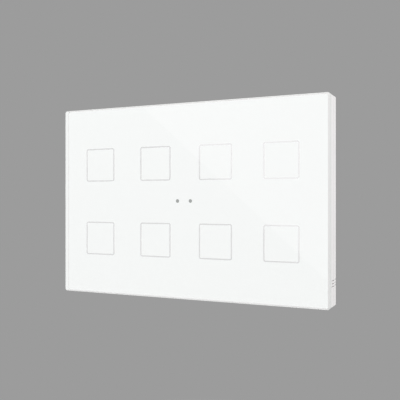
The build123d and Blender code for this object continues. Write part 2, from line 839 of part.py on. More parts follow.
for number, pole_x in enumerate(pole_xs, start=1):
    with BuildPart() as clamp_screw:
        with BuildSketch(Plane.XY.offset(head_bottom)):
            with Locations((pole_x, -clamp_middle)):
                Circle(clamp_head_radius)
        extrude(amount=clamp_head_height)
        with BuildSketch(Plane.XY.offset(head_top)):
            with Locations((pole_x, -clamp_middle)):
                Rectangle(2 * clamp_head_radius, clamp_slot_width)
        extrude(amount=-clamp_slot_depth, mode=Mode.SUBTRACT)
        with BuildSketch(Plane.XY.offset(head_bottom)):
            with Locations((pole_x, -clamp_middle)):
                Circle(clamp_screw_radius)
        extrude(amount=-clamp_screw_length)
    clamp_screw.part.label = f"clamp_screw_{number}"
    export_step(clamp_screw.part, f"parts/clamp_screw_{number}.step")

    with BuildPart() as wire_clamp:
        with BuildSketch(Plane.XY.offset(clamp_bottom)):
            with Locations((pole_x, -clamp_middle)):
                Rectangle(clamp_width, clamp_length)
        extrude(amount=clamp_height)
        with BuildSketch(at_depth(chamber_front + overrun)):
            with Locations(
                (pole_x, clamp_bottom + (clamp_height - clamp_top_wall + clamp_floor) / 2)
            ):
                Rectangle(
                    clamp_width - 2 * clamp_side_wall, clamp_height - clamp_top_wall - clamp_floor
                )
        extrude(amount=chamber_rear - chamber_front - 2 * overrun, mode=Mode.SUBTRACT)
        with BuildSketch(Plane.XY.offset(clamp_bottom + clamp_height)):
            with Locations((pole_x, -clamp_middle)):
                Circle(clamp_screw_radius + slide_fit)
        extrude(amount=-clamp_top_wall, mode=Mode.SUBTRACT)
    wire_clamp.part.label = f"wire_clamp_{number}"
    export_step(wire_clamp.part, f"parts/wire_clamp_{number}.step")

# Hooks of the wall plate: bent out of it, with the lip pointing up
hook_width = 8.0
hook_relief = 0.6
hook_side_margin = 10.0
hook_top_margin = 14.8
hook_bottom_margin = 8.8
hook_rise = 3.2
hook_fold_radius = 0.3
hook_root = 1.5
lip_gap = 0.2
window_margin = 0.5
window_stop = 0.4
lip_rear = cover_front + lip_gap
hook_x = plate_width / 2 - hook_side_margin
hook_zs = (plate_height / 2 - hook_top_margin, hook_bottom_margin - plate_height / 2)
hook_places = [(side * hook_x, z) for side in (-1, 1) for z in hook_zs]

# Magnets in pockets of the cover
magnet_radius = 4.0
magnet_thickness = 1.5
magnet_pocket_depth = 0.9
magnet_side_gap = 2.5
magnet_x = hook_x - hook_width / 2 - window_margin - magnet_side_gap - magnet_radius
magnet_z = 15.0
magnet_places = [(x, z) for x in (-magnet_x, magnet_x) for z in (magnet_z, -magnet_z)]

# Rear cover: rim, recess for the wall plate, hook windows, connector windows and a spigot
# that sits inside the frame
spigot_wall = 1.2
spigot_reach = 0.9
rim_edge_radius = 0.4
support_radius = 1.2
support_x_shares = (-0.84, -0.42, 0.0, 0.42, 0.84)
support_z_share = 0.82
connector_margin = 0.4
slit_bay = 7.0

spigot_width = cavity_width - 2 * loose_fit
spigot_height_outer = cavity_height - 2 * loose_fit
support_places = [
    (x_share * cavity_width / 2, side * support_z_share * cavity_height / 2)
    for x_share in support_x_shares
    for side in (-1, 1)
]

with BuildPart() as rear_cover:
    with BuildSketch(at_depth(rear_gap)):
        RectangleRounded(frame_width, frame_height, frame_corner_radius)
    extrude(amount=cover_thickness)
    fillet(rear_cover.faces().sort_by(Axis.Y)[-1].edges(), rim_edge_radius)
    with BuildSketch(at_depth(cover_front)):
        Rectangle(spigot_width, spigot_height_outer)
        Rectangle(
            spigot_width - 2 * spigot_wall, spigot_height_outer - 2 * spigot_wall, mode=Mode.SUBTRACT
        )
        with Locations(*screw_places):
            Circle(post_radius + loose_fit, mode=Mode.SUBTRACT)
        with Locations((cavity_width / 2, -slit_drop)):
            Rectangle(2 * (spigot_wall + overrun), slit_bay, mode=Mode.SUBTRACT)
    extrude(amount=frame_rear - cover_front + spigot_reach)
    with BuildSketch(at_depth(cover_front)):
        RectangleRounded(frame_width, frame_height, frame_corner_radius)
        Rectangle(spigot_width, spigot_height_outer, mode=Mode.SUBTRACT)
        with Locations(*screw_places):
            Circle(post_radius + loose_fit, mode=Mode.SUBTRACT)
    extrude(amount=rim_rise)
    with BuildSketch(at_depth(cover_front)):
        with Locations(*support_places):
            Circle(support_radius)
    extrude(amount=board_back - cover_front)
    with BuildSketch(at_depth(rear_gap - overrun)):
        with Locations((0, (recess_top + recess_bottom) / 2)):
            Rectangle(recess_width, recess_top - recess_bottom)
    extrude(amount=recess_front - rear_gap + overrun, mode=Mode.SUBTRACT)
    with BuildSketch(at_depth(rear_gap - overrun)):
        for x, z in hook_places:
            window_top = z + plate_thickness + fixed_fit
            window_bottom = z - lift_travel - window_stop
            with Locations((x, (window_top + window_bottom) / 2)):
                Rectangle(hook_width + 2 * window_margin, window_top - window_bottom)
        with Locations((bus_x, connector_z)):
            Rectangle(
                2 * (bus_pin_spacing + connector_margin), bus_plug_height + 2 * connector_margin
            )
        with Locations((input_x, connector_z)):
            Rectangle(
                input_plug_width + 2 * connector_margin, input_plug_height + 2 * connector_margin
            )
        with Locations((key_x, key_z)):
            Circle(key_radius + slide_fit)
        with Locations((pipe_x, key_z)):
            Circle(pipe_radius + fixed_fit)
        with Locations(*screw_places):
            Circle(screw_radius + fixed_fit)
    extrude(amount=cover_front - rear_gap + 2 * overrun, mode=Mode.SUBTRACT)
    with BuildSketch(at_depth(rear_gap - overrun)):
        with Locations(*screw_places):
            Circle(screw_head_radius + fixed_fit)
    extrude(amount=screw_head_sink + screw_head_height + overrun, mode=Mode.SUBTRACT)
    with BuildSketch(at_depth(cover_front)):
        with Locations(*magnet_places):
            Circle(magnet_radius + fixed_fit)
    extrude(amount=-magnet_pocket_depth, mode=Mode.SUBTRACT)
    with BuildSketch(at_depth(rear_gap - overrun)):
        with Locations(*[(frame_width / 2, z) for z in slit_heights]):
            Rectangle(2 * slit_depth, slit_height)
    extrude(amount=cover_thickness + rim_rise + 2 * overrun, mode=Mode.SUBTRACT)
rear_cover.part.label = "rear_cover"
export_step(rear_cover.part, "parts/rear_cover.step")

for number, place in enumerate(magnet_places, start=1):
    with BuildPart() as magnet:
        with BuildSketch(at_depth(cover_front - magnet_pocket_depth)):
            with Locations(place):
                Circle(magnet_radius)
        extrude(amount=magnet_thickness)
    magnet.part.label = f"magnet_{number}"
    export_step(magnet.part, f"parts/magnet_{number}.step")

# Cover screws: cross-slotted heads sunk in the rim, shanks in the posts
with BuildPart() as cover_screws:
    with BuildSketch(at_depth(screw_head_rear)):
        with Locations(*screw_places):
            Circle(screw_head_radius)
    extrude(amount=screw_head_height)
    with BuildSketch(at_depth(screw_head_rear + screw_head_height)):
        with Locations(*screw_places):
            Circle(screw_radius)
    extrude(amount=screw_length)
    with BuildSketch(at_depth(screw_head_rear)):
        with Locations(*screw_places):
            Rectangle(2 * screw_head_radius, screw_slot_width)
        with Locations(*screw_places):
            Rectangle(screw_slot_width, 2 * screw_head_radius)
    extrude(amount=screw_slot_depth, mode=Mode.SUBTRACT)
cover_screws.part.label = "cover_screws"
export_step(cover_screws.part, "parts/cover_screws.step")

# Wall plate: steel sheet with an opening for the plugs, slots for the box screws and hooks
plate_corner_radius = 3.0
plate_opening_width = 44.0
plate_opening_height = 46.0
opening_corner_radius = 3.0
round_box_spacing = 60.0
long_slot_end_margin = 8.35
long_box_spacing = plate_width - 2 * long_slot_end_margin
slot_half_width = 2.1
round_box_slot_length = 8.0
long_box_slot_length = 6.5
lip_front = lip_rear + plate_thickness
fold_mid_radius = hook_fold_radius + plate_thickness / 2
hook_hole_top = hook_rise + lip_front

with BuildPart() as wall_plate:
    with BuildSketch(at_depth(0)):
        RectangleRounded(plate_width, plate_height, plate_corner_radius)
        RectangleRounded(
            plate_opening_width, plate_opening_height, opening_corner_radius, mode=Mode.SUBTRACT
        )
        with Locations(*[(x, 0) for x in spread(2, round_box_spacing)]):
            SlotOverall(round_box_slot_length, 2 * slot_half_width, mode=Mode.SUBTRACT)
        with Locations(*[(x, 0) for x in spread(2, long_box_spacing)]):
            SlotOverall(long_box_slot_length, 2 * slot_half_width, mode=Mode.SUBTRACT)
        for x, z in hook_places:
            hole_bottom = z - hook_fold_radius
            hole_top = z + hook_hole_top
            with Locations((x, (hole_top + hole_bottom) / 2)):
                Rectangle(
                    hook_width + 2 * hook_relief, hole_top - hole_bottom, mode=Mode.SUBTRACT
                )
    extrude(amount=plate_thickness)
    for x, z in hook_places:
        with BuildSketch(Plane.YZ.offset(x - hook_width / 2)):
            with BuildLine() as fold:
                FilletPolyline(
                    (-plate_thickness / 2, z - hook_root),
                    (-plate_thickness / 2, z + plate_thickness / 2),
                    (-(lip_rear + lip_front) / 2, z + plate_thickness / 2),
                    (-(lip_rear + lip_front) / 2, z + plate_thickness + hook_rise),
                    radius=fold_mid_radius,
                )
            trace(fold.line, line_width=plate_thickness)
        extrude(amount=hook_width)
wall_plate.part.label = "wall_plate"
export_step(wall_plate.part, "parts/wall_plate.step")
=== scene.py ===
"""Looks of a glass touch light switch with eight touch areas and a bus and an input connector."""

import math

import bpy
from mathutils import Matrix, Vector


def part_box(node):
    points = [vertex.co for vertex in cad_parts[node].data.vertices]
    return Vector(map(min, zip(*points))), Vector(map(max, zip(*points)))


bl_info = {
    "name": "Touch light switch",
    "version": (1, 0, 0),
    "blender": (4, 5, 0),
    "location": "3D View > Sidebar > Touch switch",
    "description": "Finishes the pieces of a glass touch light switch and sets its studio",
    "category": "Object",
}

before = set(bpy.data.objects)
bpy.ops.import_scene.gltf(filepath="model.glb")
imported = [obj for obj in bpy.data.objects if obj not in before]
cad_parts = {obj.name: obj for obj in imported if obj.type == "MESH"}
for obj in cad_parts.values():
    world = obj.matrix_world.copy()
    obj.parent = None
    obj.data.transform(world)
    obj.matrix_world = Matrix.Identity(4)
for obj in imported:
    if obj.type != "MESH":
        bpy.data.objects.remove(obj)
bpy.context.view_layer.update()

MM = 0.001


def linear(hex_code):
    """An sRGB hex colour as linear red, green and blue, and an alpha of 1."""
    shares = [int(hex_code[i : i + 2], 16) / 255 for i in (0, 2, 4)]
    parts = (s / 12.92 if s <= 0.04045 else ((s + 0.055) / 1.055) ** 2.4 for s in shares)
    return (*parts, 1.0)


def per_mm(size):
    """The texture scale at which one cell of a pattern is this many millimetres."""
    return 1 / (size * MM)


# ---------------------------------------------------------------- what a user would change


def colour(name, description, hex_code):
    """A colour that a user can change."""
    return bpy.props.FloatVectorProperty(
        name=name,
        description=description,
        subtype="COLOR",
        size=4,
        min=0.0,
        max=1.0,
        default=linear(hex_code),
    )


def length(name, description, default):
    """A length in metres that a user can change."""
    return bpy.props.FloatProperty(
        name=name,
        description=description,
        default=default,
        min=0.0,
        soft_max=1.0,
        unit="LENGTH",
        precision=5,
    )


def share(name, description, default, top=1.0):
    """A share from 0 to top that a user can change."""
    return bpy.props.FloatProperty(
        name=name, description=description, subtype="FACTOR", default=default, min=0.0, max=top
    )


class FrontLooks(bpy.types.PropertyGroup):
    """Glass, printed pattern and white film"""

    film: colour("Film", "White print film behind the glass", "FAFCFB")
    outline: colour("Outline", "Ink of the touch outlines", "FDFEFE")
    dot: colour("Dot", "Ink over the two sensors", "A6A9A7")
    ground_edge: colour("Ground edge", "Ground side of the glass", "EBE9E9")
    # Partly the glass's own green and partly painted shade: the middle of each ground side is drawn
    # darker.
    core_green_and_painted_shade: colour("Glass core", "Faint green in the middle of the glass's thickness", "E5E7E5")
    glass_roughness: share("Glass roughness", "Roughness of the polished face", 0.006)
    outline_metal: share("Outline metal", "How much the outlines mirror, as metal flakes do", 0.38)


class HousingLooks(bpy.types.PropertyGroup):
    """Plastic parts round and behind the board"""

    white: colour("White", "Side frame and rear cover", "F3F1F1")
    mask: colour("Mask", "Light mask between the lamps", "ECEBE8")
    milky: colour("Milky", "Diffusers over the lamps", "EEF0F2")
    key: colour("Key", "Programming key", "A9ABAD")
    tape: colour("Tape", "Foam tape behind the film", "CDD0D0")
    grain: length("Grain", "Size of one pit of the moulded texture", 0.3 * MM)
    edge: length("Edge rounding", "Rounding on moulded edges", 0.12 * MM)


class ConnectorLooks(bpy.types.PropertyGroup):
    """Connectors, screws and plate"""

    bus_red: colour("Red half", "Positive half of the bus plug", "C8201C")
    bus_grey: colour("Grey half", "Negative half of the bus plug", "4A4C50")
    green: colour("Green", "Input header and plug", "3E9B5A")
    zinc: colour("Zinc", "Zinc-plated sheet and screws", "C3C7CB")
    edge: length("Edge rounding", "Rounding on stamped and turned edges", 0.05 * MM)


class StudioLooks(bpy.types.PropertyGroup):
    """Backdrop, lamps and floor"""

    backdrop: colour("Backdrop", "Flat grey behind the switch", "9C9C9C")
    floor: colour("Floor", "Pale floor under the switch", "D6D6D6")
    floor_drop: length("Floor drop", "Height of the switch's middle above the floor", 150 * MM)
    fill: share("Fill", "Even light from all round", 0.72, 2.0)
    key: share("Key", "Light that the front gets from the large lamp", 0.28, 2.0)
    side: share("Side", "Light that the right side gets from the near lamp", 0.28, 2.0)
    rear: share("Rear", "Light that the back gets from the rear lamp", 0.23, 2.0)
    card: share("Card", "Brightness of the white card that the glass mirrors", 0.74, 2.0)


# ---------------------------------------------------------------- materials

WHITE = linear("FFFFFF")
BLACK = linear("000000")
GLASS_INDEX = 1.52

# A Mix node has sockets for several kinds of value under the same names, so those of its colours
# are found by their places.
MIX_BY, MIX_FIRST, MIX_SECOND, MIX_RESULT = 0, 6, 7, 2

# Most of a noise pattern lies between these, so they count as its two ends.
NOISE_ENDS = {"From Min": 0.3, "From Max": 0.7}


def add(tree, kind, inputs=None, output=0, **settings):
    """Adds a shader node with its settings and links, and gives one of its outputs.

    Each input is a value, or the output that feeds it.
    """
    node = tree.nodes.new(kind)
    for name, value in settings.items():
        setattr(node, name, value)
    for name, value in (inputs or {}).items():
        if isinstance(value, bpy.types.NodeSocket):
            tree.links.new(value, node.inputs[name])
        else:
            node.inputs[name].default_value = value
    return node.outputs[output] if node.outputs else None


def new_tree(name):
    """An empty material and its node tree."""
    material = bpy.data.materials.new(name)
    material.use_nodes = True
    material.node_tree.nodes.clear()
    return material, material.node_tree


def shade(tone, amount):
    """A colour made darker, or lighter above 1."""
    return tuple(min(1.0, c * amount) for c in tone[:3]) + (1.0,)


def pattern(tree, cell_mm, detail=2.0, stretch=(1.0, 1.0, 1.0)):
    """Spots cell_mm wide at random, drawn out along an axis where the stretch is under 1."""
    place = add(tree, "ShaderNodeTexCoord", output="Object")
    drawn_out = add(tree, "ShaderNodeMapping", {"Vector": place, "Scale": stretch})
    cells = {"Vector": drawn_out, "Scale": per_mm(cell_mm), "Detail": detail}
    return add(tree, "ShaderNodeTexNoise", cells, "Fac")


def faces_along(tree, axis, low=0.6, high=0.8):
    """1 on faces square to the axis, 0 on the others, from how far their normals lie along it."""
    normal = add(tree, "ShaderNodeTexCoord", output="Normal")
    part = add(tree, "ShaderNodeSeparateXYZ", {"Vector": normal}, axis)
    size = add(tree, "ShaderNodeMath", {0: part}, operation="ABSOLUTE")
    return add(tree, "ShaderNodeMapRange", {"Value": size, "From Min": low, "From Max": high})


def worked_skin(tree, tint, rough, relief, more=None, rough_ends=NOISE_ENDS):
    """A surface that patterns make uneven, as the way it was worked does.

    tint is a pattern with the colours at its two ends, rough a pattern with the roughness at them,
    and relief a pattern with its depth in millimetres. more holds any other inputs.
    """
    tint_by, first, second = tint
    rough_by, smoothest, roughest = rough
    height, depth_mm = relief
    colours = {MIX_BY: tint_by, MIX_FIRST: first, MIX_SECOND: second}
    levels = {**rough_ends, "Value": rough_by, "To Min": smoothest, "To Max": roughest}
    inputs = {
        "Base Color": add(tree, "ShaderNodeMix", colours, MIX_RESULT, data_type="RGBA"),
        "Roughness": add(tree, "ShaderNodeMapRange", levels),
        "Normal": add(tree, "ShaderNodeBump", {"Height": height, "Distance": depth_mm * MM}),
        **(more or {}),
    }
    return add(tree, "ShaderNodeBsdfPrincipled", inputs)


def polished_float_glass(looks):
    # Clear float glass, 3 mm: the face mirrors the room over the white film, and the ground sides
    # are satin, a little green, and darker in the middle of the thickness, that darkening painted
    # shade. The narrow bevel is fine-ground, between the two, and on the right it takes the ground
    # finish as painted shade. The seamed rim of the back is ground as well.
    material, tree = new_tree("polished_float_glass")
    low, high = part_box("glass_front")
    place = add(tree, "ShaderNodeTexCoord", output="Object")
    spot = {axis: add(tree, "ShaderNodeSeparateXYZ", {"Vector": place}, axis) for axis in "XYZ"}
    inside = add(tree, "ShaderNodeNewGeometry", output="Backfacing")
    clear = add(tree, "ShaderNodeBsdfTransparent")

    polish = {"Color": WHITE, "Roughness": looks.glass_roughness}
    gloss = add(tree, "ShaderNodeBsdfAnisotropic", polish, distribution="GGX")
    mirrored = add(tree, "ShaderNodeFresnel", {"IOR": GLASS_INDEX})
    outer = add(tree, "ShaderNodeMixShader", {0: mirrored, 1: clear, 2: gloss})
    face = add(tree, "ShaderNodeMixShader", {0: inside, 1: outer, 2: clear})

    through = {"Value": spot["Y"], "From Min": low.y, "From Max": high.y}
    depth = add(tree, "ShaderNodeMapRange", through)
    half_turn = add(tree, "ShaderNodeMath", {0: depth, 1: math.pi}, operation="MULTIPLY")
    middle = add(tree, "ShaderNodeMath", {0: half_turn}, operation="SINE")
    # Grinding lines run along the edge, 0.05 mm apart in the real one and drawn at 0.2 mm to show.
    lines = pattern(tree, 0.2, 2.0, (0.05, 1.0, 0.05))
    # The middle of the side's thickness takes the core colour: partly the glass's own green, partly
    # painted shade.
    greens = (middle, tuple(looks.ground_edge), tuple(looks.core_green_and_painted_shade))
    ground = worked_skin(tree, greens, (lines, 0.35, 0.5), (lines, 0.01), {"IOR": GLASS_INDEX})
    # Seen from inside, a side mirrors the film, as light at that angle can't leave the glass.
    inner_polish = {"Color": WHITE, "Roughness": 0.12}
    turned_back = add(tree, "ShaderNodeBsdfAnisotropic", inner_polish, distribution="GGX")
    side = add(tree, "ShaderNodeMixShader", {0: inside, 1: ground, 2: turned_back})

    # The bevel's share of polish is two thirds, and little on the right, where the satin ground
    # finish is painted shade that makes that bevel show darker.
    normal = add(tree, "ShaderNodeTexCoord", output="Normal")
    rightward = add(tree, "ShaderNodeSeparateXYZ", {"Vector": normal}, "X")
    right_bevel_painted_shade = {"From Min": 0.3, "From Max": 0.6, "To Min": 1.0, "To Max": 0.05}
    kept = add(tree, "ShaderNodeMapRange", {**right_bevel_painted_shade, "Value": rightward})
    toward_front = faces_along(tree, "Y", 0.1, 1.0)
    polished = add(tree, "ShaderNodeMath", {0: toward_front, 1: kept}, operation="MULTIPLY")
    glass = add(tree, "ShaderNodeMixShader", {0: polished, 1: side, 2: face})

    seam_width = 0.15 * MM
    rims = []
    for axis, edge in (("X", high.x), ("Z", high.z)):
        out = add(tree, "ShaderNodeMath", {0: spot[axis]}, operation="ABSOLUTE")
        past = {0: out, 1: edge - seam_width}
        rims.append(add(tree, "ShaderNodeMath", past, operation="GREATER_THAN"))
    rim = add(tree, "ShaderNodeMath", {0: rims[0], 1: rims[1]}, operation="MAXIMUM")
    seam = add(tree, "ShaderNodeMath", {0: rim, 1: faces_along(tree, "Y")}, operation="MULTIPLY")
    seamed = add(tree, "ShaderNodeMixShader", {0: seam, 1: glass, 2: ground})

    # Light on its way to the film goes straight through, so that the film is lit in full.
    shadow = add(tree, "ShaderNodeLightPath", output="Is Shadow Ray")
    diffuse = add(tree, "ShaderNodeLightPath", output="Is Diffuse Ray")
    lit = add(tree, "ShaderNodeMath", {0: shadow, 1: diffuse}, operation="MAXIMUM")
    surface = add(tree, "ShaderNodeMixShader", {0: lit, 1: seamed, 2: clear})
    add(tree, "ShaderNodeOutputMaterial", {"Surface": surface})
    return material


def fired_ink(name, tone, metal_share):
    # Enamel ink fired into the glass: thin, slightly speckled, and silvery where it holds flakes.
    material, tree = new_tree(name)
    # Pigment grains are 0.02 mm and are drawn at 0.12 mm to show.
    grains = pattern(tree, 0.12, 3.0)
    tint = (grains, shade(tone, 0.97), shade(tone, 1.03))
    flakes = {"Metallic": metal_share}
    ink = worked_skin(tree, tint, (grains, 0.08, 0.14), (grains, 0.001), flakes)
    add(tree, "ShaderNodeOutputMaterial", {"Surface": ink})
    return material


def printed_white_film(looks):
    # Polyester film with white print: even and matt, with a trace of mottling in the print.
    material, tree = new_tree("printed_white_film")
    mottle = pattern(tree, 0.8, 3.0)
    white = tuple(looks.film)
    tint = (mottle, shade(white, 0.996), shade(white, 1.004))
    film = worked_skin(tree, tint, (mottle, 0.6, 0.68), (mottle, 0.001), {"IOR": 1.58})
    add(tree, "ShaderNodeOutputMaterial", {"Surface": film})
    return material


def acrylic_foam_tape(looks):
    # Closed-cell acrylic foam: a soft pale grey with small open cells on its cut edge, drawn
    # darker in their hollows as painted shade.
    material, tree = new_tree("acrylic_foam_tape")
    place = add(tree, "ShaderNodeTexCoord", output="Object")
    cells = {"Vector": place, "Scale": per_mm(0.12)}
    wall = add(tree, "ShaderNodeTexVoronoi", cells, "Distance")
    ends = {"From Min": 0.1, "From Max": 0.8}
    # Painted shade: the colour darkens toward the middle of each open cell.
    depth = add(tree, "ShaderNodeMapRange", {**ends, "Value": wall})
    grey = tuple(looks.tape)
    tint = (depth, shade(grey, 0.82), grey)
    tape = worked_skin(tree, tint, (wall, 0.75, 0.95), (wall, 0.03), rough_ends=ends)
    add(tree, "ShaderNodeOutputMaterial", {"Surface": tape})
    return material


def moulded_plastic(name, tone, roughness, grain_mm, depth_mm, index=1.53):
    # Moulded: the tool's fine pits break up the gloss, and the melt leaves faint flow shading.
    # The pits are also drawn a little darker, as painted shade in them. The pits are under 0.1 mm
    # wide in the real ones and are drawn at grain_mm to show.
    material, tree = new_tree(name)
    pits = pattern(tree, grain_mm, 3.0)
    flow = pattern(tree, 14.0, 2.0, (0.4, 1.0, 1.0))
    flowed = {MIX_BY: flow, MIX_FIRST: shade(tone, 0.975), MIX_SECOND: shade(tone, 1.02)}
    even = add(tree, "ShaderNodeMix", flowed, MIX_RESULT, data_type="RGBA")
    # Painted shade: the pits darken the colour a little.
    pit_painted_shade = {**NOISE_ENDS, "Value": pits, "To Min": 0.0, "To Max": 0.12}
    tint = (add(tree, "ShaderNodeMapRange", pit_painted_shade), even, shade(tone, 0.6))
    rough = (pits, roughness - 0.07, roughness + 0.07)
    plastic = worked_skin(tree, tint, rough, (pits, depth_mm), {"IOR": index})
    add(tree, "ShaderNodeOutputMaterial", {"Surface": plastic})
    return material


def milky_acrylic(looks):
    # Acrylic with a white scattering pigment: it glows softly and has a smooth moulded skin.
    material, tree = new_tree("milky_acrylic")
    cloud = pattern(tree, 2.5, 3.0)
    white = tuple(looks.milky)
    tint = (cloud, shade(white, 0.97), shade(white, 1.02))
    scattering = {
        "IOR": 1.49,
        "Subsurface Weight": 0.25,
        "Subsurface Radius": (1.0 * MM, 1.0 * MM, 1.0 * MM),
    }
    acrylic = worked_skin(tree, tint, (cloud, 0.28, 0.38), (cloud, 0.004), scattering)
    add(tree, "ShaderNodeOutputMaterial", {"Surface": acrylic})
    return material


def clear_acrylic():
    # Clear moulded acrylic: glass-like, with a slightly wavy skin.
    material, tree = new_tree("clear_moulded_acrylic")
    waves = pattern(tree, 0.9, 2.0)
    wavy = {**NOISE_ENDS, "Value": waves, "To Min": 0.04, "To Max": 0.1}
    see_through = {
        "Base Color": linear("EEF3F4"),
        "Roughness": add(tree, "ShaderNodeMapRange", wavy),
        "IOR": 1.49,
        "Transmission Weight": 0.85,
        "Normal": add(tree, "ShaderNodeBump", {"Height": waves, "Distance": 0.006 * MM}),
    }
    acrylic = add(tree, "ShaderNodeBsdfPrincipled", see_through)
    add(tree, "ShaderNodeOutputMaterial", {"Surface": acrylic})
    return material


def etched_copper():
    # Rolled copper foil, etched: warm metal with rolling streaks and a little tarnish in patches.
    material, tree = new_tree("etched_copper_foil")
    # Rolling lines are about 0.03 mm apart and are drawn at 0.15 mm to show.
    streaks = pattern(tree, 0.15, 3.0, (0.06, 1.0, 1.0))
    tarnish = pattern(tree, 3.0, 4.0)
    rolled = {MIX_BY: streaks, MIX_FIRST: linear("D08A62"), MIX_SECOND: linear("E2A27C")}
    fresh = add(tree, "ShaderNodeMix", rolled, MIX_RESULT, data_type="RGBA")
    dulled = {**NOISE_ENDS, "Value": tarnish, "To Min": 0.0, "To Max": 0.5}
    tint = (add(tree, "ShaderNodeMapRange", dulled), fresh, linear("A9684A"))
    foil = worked_skin(tree, tint, (tarnish, 0.26, 0.42), (streaks, 0.003), {"Metallic": 1.0})
    add(tree, "ShaderNodeOutputMaterial", {"Surface": foil})
    return material


def solder_resist_board():
    # Glass-epoxy board under green solder resist: tracks stand a little proud and paler, and the
    # cut edge shows the straw-coloured laminate.
    material, tree = new_tree("solder_resist_on_laminate")
    place = add(tree, "ShaderNodeTexCoord", output="Object")
    upright = {"Vector": place, "Rotation": (math.pi / 2, 0.0, 0.0)}
    tracks = add(
        tree,
        "ShaderNodeTexBrick",
        {
            "Vector": add(tree, "ShaderNodeMapping", upright),
            "Color1": BLACK,
            "Color2": BLACK,
            "Mortar": WHITE,
            "Scale": per_mm(1.0),
            "Mortar Size": 0.11,
            "Mortar Smooth": 0.1,
            "Brick Width": 5.1,
            "Row Height": 1.27,
        },
        "Color",
    )
    greens = {MIX_BY: tracks, MIX_FIRST: linear("0F4A2B"), MIX_SECOND: linear("1E6A41")}
    resist = add(tree, "ShaderNodeMix", greens, MIX_RESULT, data_type="RGBA")
    # Tinned holes lie 3.4 mm apart.
    spots = {"Vector": place, "Scale": per_mm(3.4)}
    from_hole = add(tree, "ShaderNodeTexVoronoi", spots, "Distance")
    near = {"From Min": 0.07, "From Max": 0.09, "To Min": 1.0, "To Max": 0.0}
    vias = add(tree, "ShaderNodeMapRange", {**near, "Value": from_hole})
    tinned = {MIX_BY: vias, MIX_FIRST: resist, MIX_SECOND: linear("C9CBC6")}
    printed = add(tree, "ShaderNodeMix", tinned, MIX_RESULT, data_type="RGBA")
    fibres = pattern(tree, 0.2, 2.0, (0.2, 1.0, 0.2))
    straws = {MIX_BY: fibres, MIX_FIRST: linear("A79A62"), MIX_SECOND: linear("C9BE86")}
    laminate = add(tree, "ShaderNodeMix", straws, MIX_RESULT, data_type="RGBA")
    tint = (faces_along(tree, "Y"), laminate, printed)
    board = worked_skin(tree, tint, (fibres, 0.3, 0.4), (tracks, 0.035), {"IOR": 1.55})
    add(tree, "ShaderNodeOutputMaterial", {"Surface": board})
    return material


def lamp_package():
    # Surface lamp: white moulded cup with a yellow phosphor window on its face.
    material, tree = new_tree("lamp_cup_and_phosphor")
    speckle = pattern(tree, 0.08, 3.0)
    yellows = {MIX_BY: speckle, MIX_FIRST: linear("D9BC4B"), MIX_SECOND: linear("EAD474")}
    phosphor = add(tree, "ShaderNodeMix", yellows, MIX_RESULT, data_type="RGBA")
    whites = {MIX_BY: speckle, MIX_FIRST: linear("E9E7DF"), MIX_SECOND: linear("F4F2EC")}
    cup = add(tree, "ShaderNodeMix", whites, MIX_RESULT, data_type="RGBA")
    tint = (faces_along(tree, "Y"), cup, phosphor)
    package = worked_skin(tree, tint, (speckle, 0.3, 0.45), (speckle, 0.006))
    add(tree, "ShaderNodeOutputMaterial", {"Surface": package})
    return material


def moulded_epoxy(name, tone, roughness):
    # Transfer-moulded epoxy: dense, with a fine sandy skin and tiny filler sparks.
    material, tree = new_tree(name)
    skin = pattern(tree, 0.09, 3.0)
    sands = {MIX_BY: skin, MIX_FIRST: shade(tone, 0.85), MIX_SECOND: shade(tone, 1.2)}
    sandy = add(tree, "ShaderNodeMix", sands, MIX_RESULT, data_type="RGBA")
    place = add(tree, "ShaderNodeTexCoord", output="Object")
    spots = {"Vector": place, "Scale": per_mm(0.22)}
    from_grain = add(tree, "ShaderNodeTexVoronoi", spots, "Distance")
    near = {"From Min": 0.03, "From Max": 0.12, "To Min": 1.0, "To Max": 0.0}
    sparks = add(tree, "ShaderNodeMapRange", {**near, "Value": from_grain})
    tint = (sparks, sandy, shade(tone, 2.6))
    rough = (skin, roughness - 0.06, roughness + 0.08)
    epoxy = worked_skin(tree, tint, rough, (skin, 0.012), {"IOR": 1.56})
    add(tree, "ShaderNodeOutputMaterial", {"Surface": epoxy})
    return material


def dipped_epoxy_bead():
    # A bead dipped in dark epoxy: wet-looking, with slow waves where it ran.
    material, tree = new_tree("dipped_epoxy_bead")
    waves = pattern(tree, 0.7, 2.0)
    tint = (waves, linear("251B15"), linear("3B2A20"))
    wet = {"IOR": 1.56, "Coat Weight": 0.6, "Coat Roughness": 0.06}
    bead = worked_skin(tree, tint, (waves, 0.12, 0.22), (waves, 0.02), wet)
    add(tree, "ShaderNodeOutputMaterial", {"Surface": bead})
    return material


def glazed_ceramic():
    # Chip resistor: black glaze on the face, white ceramic at the sides.
    material, tree = new_tree("glazed_chip_ceramic")
    grain = pattern(tree, 0.1, 3.0)
    blacks = {MIX_BY: grain, MIX_FIRST: linear("17181A"), MIX_SECOND: linear("25262A")}
    glaze = add(tree, "ShaderNodeMix", blacks, MIX_RESULT, data_type="RGBA")
    whites = {MIX_BY: grain, MIX_FIRST: linear("CFCFCA"), MIX_SECOND: linear("E2E2DE")}
    ceramic = add(tree, "ShaderNodeMix", whites, MIX_RESULT, data_type="RGBA")
    tint = (faces_along(tree, "Y"), ceramic, glaze)
    chip = worked_skin(tree, tint, (grain, 0.22, 0.42), (grain, 0.006))
    add(tree, "ShaderNodeOutputMaterial", {"Surface": chip})
    return material


